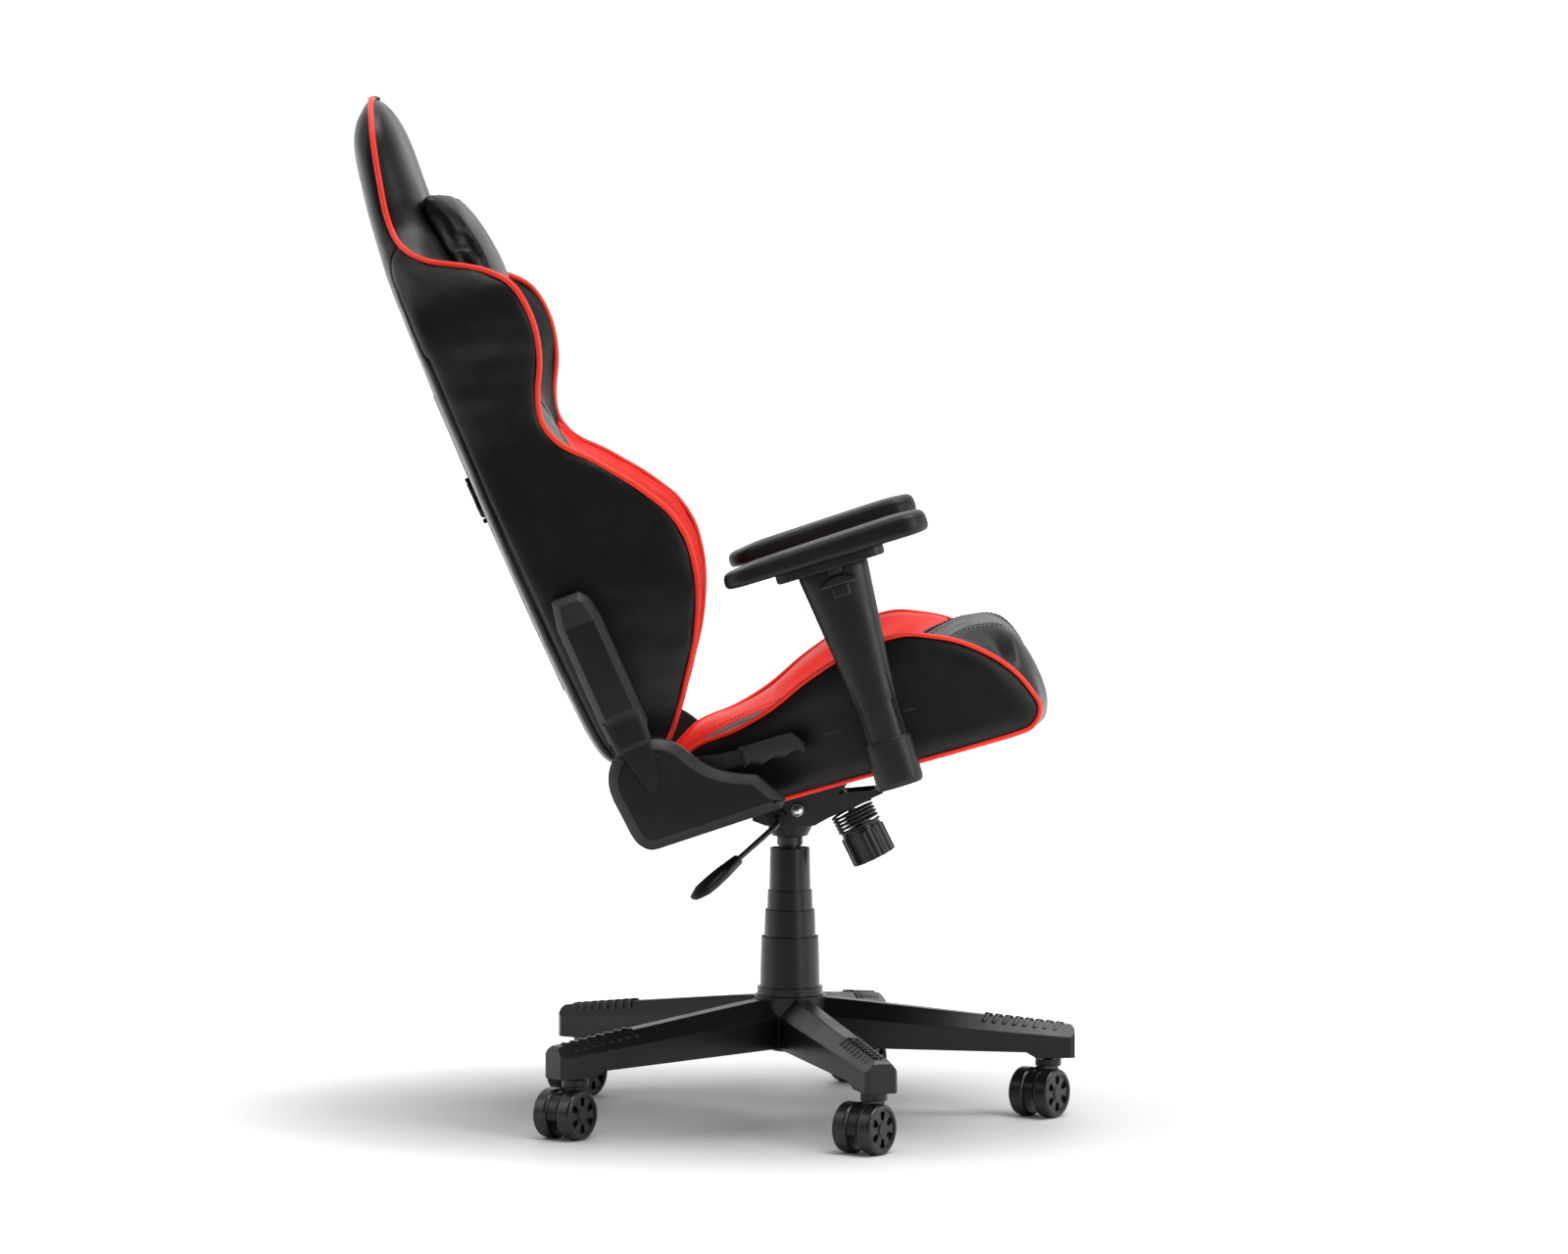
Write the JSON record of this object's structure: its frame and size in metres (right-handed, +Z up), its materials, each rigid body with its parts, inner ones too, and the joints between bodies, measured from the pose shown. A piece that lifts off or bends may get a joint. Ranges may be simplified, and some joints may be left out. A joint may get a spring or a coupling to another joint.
{
  "type": "gaming chair",
  "caption": "Racing-style gaming chair with winged reclining back, bucket seat, adjustable armrests, rocking gas-lift column and star base on twin-wheel casters.",
  "frame": {"origin": "on the floor, on the axis of the gas column", "axes": "+X the front of the chair, +Y the sitter's left, +Z up"},
  "size_m": [0.8781, 0.6954, 1.243],
  "materials": {
    "nylon": "fine-grained black nylon",
    "black_paint": "satin black powder coat",
    "steel": "bright zinc plate",
    "bearing_plastic": "white acetal",
    "webbing": "woven black webbing",
    "black_leather": "grained black artificial leather with a soft sheen",
    "red_leather": "grained orange-red artificial leather",
    "arm_plastic": "fine-textured dark grey plastic",
    "arm_pad": "soft black polyurethane",
    "wheel": "satin black nylon wheel"
  },
  "bodies": {
    "base": {"star_base": "nylon", "gas_tube": "black_paint", "column_bearings": "bearing_plastic", "column_cover_bottom": "nylon"},
    "mechanism": {"gas_cylinder": "black_paint", "tilt_housing": "black_paint", "pivot_pin": "steel", "column_cover_top": "nylon"},
    "cover_upper": {"column_cover_upper": "nylon"},
    "cover_lower": {"column_cover_lower": "nylon"},
    "lift_lever": {"lever_bushing": "nylon", "lift_lever_rod": "black_paint", "lift_lever_paddle": "nylon"},
    "swivel": {"piston_rod": "steel"},
    "seat": {"tilt_plate": "black_paint", "seat_fasteners": "steel", "seat_frame": "black_paint", "seat_webbing": "webbing", "seat_cushion": "black_leather", "seat_bolsters": "red_leather", "seat_brackets": "black_paint", "hinge_covers": "nylon", "arm_uprights": "arm_plastic", "arm_sockets": "arm_plastic", "tension_spring": "black_paint"},
    "tension_knob": {"tension_knob": "nylon"},
    "recline_lever": {"recline_lever": "black_paint", "recline_grip": "nylon"},
    "back": {"back_frame": "black_paint", "back_webbing": "webbing", "back_cushion": "black_leather", "back_bolsters": "red_leather", "back_brackets": "black_paint", "back_arm_covers": "nylon", "head_pillow": "black_leather", "lumbar_pillow": "black_leather", "straps": "webbing"},
    "arm_left": {"arm_sleeve_left": "arm_plastic"},
    "arm_button_left": {"arm_button_left": "arm_plastic"},
    "arm_plate_left": {"arm_plate_left": "arm_plastic"},
    "arm_pad_left": {"arm_pad_left": "arm_pad"},
    "arm_right": {"arm_sleeve_right": "arm_plastic"},
    "arm_button_right": {"arm_button_right": "arm_plastic"},
    "arm_plate_right": {"arm_plate_right": "arm_plastic"},
    "arm_pad_right": {"arm_pad_right": "arm_pad"},
    "caster_1": {"caster_1_body": "nylon"},
    "caster_1_wheel_outer": {"caster_1_wheel_outer": "wheel"},
    "caster_1_wheel_inner": {"caster_1_wheel_inner": "wheel"},
    "caster_2": {"caster_2_body": "nylon"},
    "caster_2_wheel_outer": {"caster_2_wheel_outer": "wheel"},
    "caster_2_wheel_inner": {"caster_2_wheel_inner": "wheel"},
    "caster_3": {"caster_3_body": "nylon"},
    "caster_3_wheel_outer": {"caster_3_wheel_outer": "wheel"},
    "caster_3_wheel_inner": {"caster_3_wheel_inner": "wheel"},
    "caster_4": {"caster_4_body": "nylon"},
    "caster_4_wheel_outer": {"caster_4_wheel_outer": "wheel"},
    "caster_4_wheel_inner": {"caster_4_wheel_inner": "wheel"},
    "caster_5": {"caster_5_body": "nylon"},
    "caster_5_wheel_outer": {"caster_5_wheel_outer": "wheel"},
    "caster_5_wheel_inner": {"caster_5_wheel_inner": "wheel"}
  },
  "joints": [
    {"name": "recline", "type": "hinge", "parent": "seat", "child": "back", "pos_m": [-0.16522, 0, 0.43339], "axis": [0, -1, 0], "range_deg": [0, 45]},
    {"name": "tilt", "type": "hinge", "parent": "mechanism", "child": "seat", "pos_m": [0.009, 0, 0.38], "axis": [0, 1, 0], "range_deg": [0, 15]},
    {"name": "lift", "type": "slide", "parent": "swivel", "child": "mechanism", "axis": [0, 0, 1], "range_m": [-0.08, 0]},
    {"name": "seat_swivel", "type": "hinge", "parent": "base", "child": "swivel", "pos_m": [0, 0, 0.15], "axis": [0, 0, 1], "continuous": true},
    {"name": "arm_left_height", "type": "slide", "parent": "seat", "child": "arm_left", "axis": [-0.2924, 0, 0.9563], "range_m": [-0.04, 0]},
    {"name": "arm_pad_left_swivel", "type": "hinge", "parent": "arm_left", "child": "arm_plate_left", "pos_m": [0.04566, 0.288, 0.69446], "axis": [-0.2924, 0, 0.9563], "range_deg": [-20, 20]},
    {"name": "arm_pad_left_slide", "type": "slide", "parent": "arm_plate_left", "child": "arm_pad_left", "axis": [0.9563, 0, 0.2924], "range_m": [-0.025, 0.025]},
    {"name": "arm_button_left_press", "type": "slide", "parent": "arm_left", "child": "arm_button_left", "axis": [-0.2924, 0, 0.9563], "range_m": [0, 0.004], "stiffness_N_per_m": 400},
    {"name": "arm_right_height", "type": "slide", "parent": "seat", "child": "arm_right", "axis": [-0.2924, 0, 0.9563], "range_m": [-0.04, 0]},
    {"name": "arm_pad_right_swivel", "type": "hinge", "parent": "arm_right", "child": "arm_plate_right", "pos_m": [0.04566, -0.288, 0.69446], "axis": [-0.2924, 0, 0.9563], "range_deg": [-20, 20]},
    {"name": "arm_pad_right_slide", "type": "slide", "parent": "arm_plate_right", "child": "arm_pad_right", "axis": [0.9563, 0, 0.2924], "range_m": [-0.025, 0.025]},
    {"name": "arm_button_right_press", "type": "slide", "parent": "arm_right", "child": "arm_button_right", "axis": [-0.2924, 0, 0.9563], "range_m": [0, 0.004], "stiffness_N_per_m": 400},
    {"name": "lift_lever_pull", "type": "hinge", "parent": "mechanism", "child": "lift_lever", "pos_m": [-0.016, -0.034, 0.37], "axis": [-1, 0, 0], "range_deg": [0, 6], "stiffness_Nm_per_rad": 1.5},
    {"name": "recline_lever_pull", "type": "hinge", "parent": "seat", "child": "recline_lever", "pos_m": [-0.16522, 0, 0.43339], "axis": [0, -1, 0], "range_deg": [0, 15], "stiffness_Nm_per_rad": 2},
    {"name": "tension_turn", "type": "hinge", "parent": "seat", "child": "tension_knob", "pos_m": [0.072, 0, 0.384], "axis": [0.4384, 0, -0.8988], "continuous": true},
    {"name": "cover_upper_slide", "type": "slide", "parent": "base", "child": "cover_upper", "axis": [0, 0, 1], "range_m": [-0.06, 0]},
    {"name": "cover_lower_slide", "type": "slide", "parent": "base", "child": "cover_lower", "axis": [0, 0, 1], "range_m": [-0.04, 0]},
    {"name": "caster_1_swivel", "type": "hinge", "parent": "base", "child": "caster_1", "pos_m": [0.318, 0, 0.06], "axis": [0, 0, 1], "continuous": true},
    {"name": "caster_2_swivel", "type": "hinge", "parent": "base", "child": "caster_2", "pos_m": [0.09827, 0.30244, 0.06], "axis": [0, 0, 1], "continuous": true},
    {"name": "caster_3_swivel", "type": "hinge", "parent": "base", "child": "caster_3", "pos_m": [-0.25727, 0.18692, 0.06], "axis": [0, 0, 1], "continuous": true},
    {"name": "caster_4_swivel", "type": "hinge", "parent": "base", "child": "caster_4", "pos_m": [-0.25727, -0.18692, 0.06], "axis": [0, 0, 1], "continuous": true},
    {"name": "caster_5_swivel", "type": "hinge", "parent": "base", "child": "caster_5", "pos_m": [0.09827, -0.30244, 0.06], "axis": [0, 0, 1], "continuous": true},
    {"name": "caster_1_roll_outer", "type": "hinge", "parent": "caster_1", "child": "caster_1_wheel_outer", "pos_m": [0.30653, -0.01638, 0.03], "axis": [0.8192, -0.5736, 0], "continuous": true},
    {"name": "caster_1_roll_inner", "type": "hinge", "parent": "caster_1", "child": "caster_1_wheel_inner", "pos_m": [0.30653, -0.01638, 0.03], "axis": [0.8192, -0.5736, 0], "continuous": true},
    {"name": "caster_2_roll_outer", "type": "hinge", "parent": "caster_2", "child": "caster_2_wheel_outer", "pos_m": [0.0868, 0.28605, 0.03], "axis": [0.8192, -0.5736, 0], "continuous": true},
    {"name": "caster_2_roll_inner", "type": "hinge", "parent": "caster_2", "child": "caster_2_wheel_inner", "pos_m": [0.0868, 0.28605, 0.03], "axis": [0.8192, -0.5736, 0], "continuous": true},
    {"name": "caster_3_roll_outer", "type": "hinge", "parent": "caster_3", "child": "caster_3_wheel_outer", "pos_m": [-0.26874, 0.17053, 0.03], "axis": [0.8192, -0.5736, 0], "continuous": true},
    {"name": "caster_3_roll_inner", "type": "hinge", "parent": "caster_3", "child": "caster_3_wheel_inner", "pos_m": [-0.26874, 0.17053, 0.03], "axis": [0.8192, -0.5736, 0], "continuous": true},
    {"name": "caster_4_roll_outer", "type": "hinge", "parent": "caster_4", "child": "caster_4_wheel_outer", "pos_m": [-0.26874, -0.2033, 0.03], "axis": [0.8192, -0.5736, 0], "continuous": true},
    {"name": "caster_4_roll_inner", "type": "hinge", "parent": "caster_4", "child": "caster_4_wheel_inner", "pos_m": [-0.26874, -0.2033, 0.03], "axis": [0.8192, -0.5736, 0], "continuous": true},
    {"name": "caster_5_roll_outer", "type": "hinge", "parent": "caster_5", "child": "caster_5_wheel_outer", "pos_m": [0.0868, -0.31882, 0.03], "axis": [0.8192, -0.5736, 0], "continuous": true},
    {"name": "caster_5_roll_inner", "type": "hinge", "parent": "caster_5", "child": "caster_5_wheel_inner", "pos_m": [0.0868, -0.31882, 0.03], "axis": [0.8192, -0.5736, 0], "continuous": true}
  ],
  "couplings": [
    {"joint": "cover_upper_slide", "follows": "lift", "ratio": 0.7},
    {"joint": "cover_lower_slide", "follows": "lift", "ratio": 0.45}
  ]
}
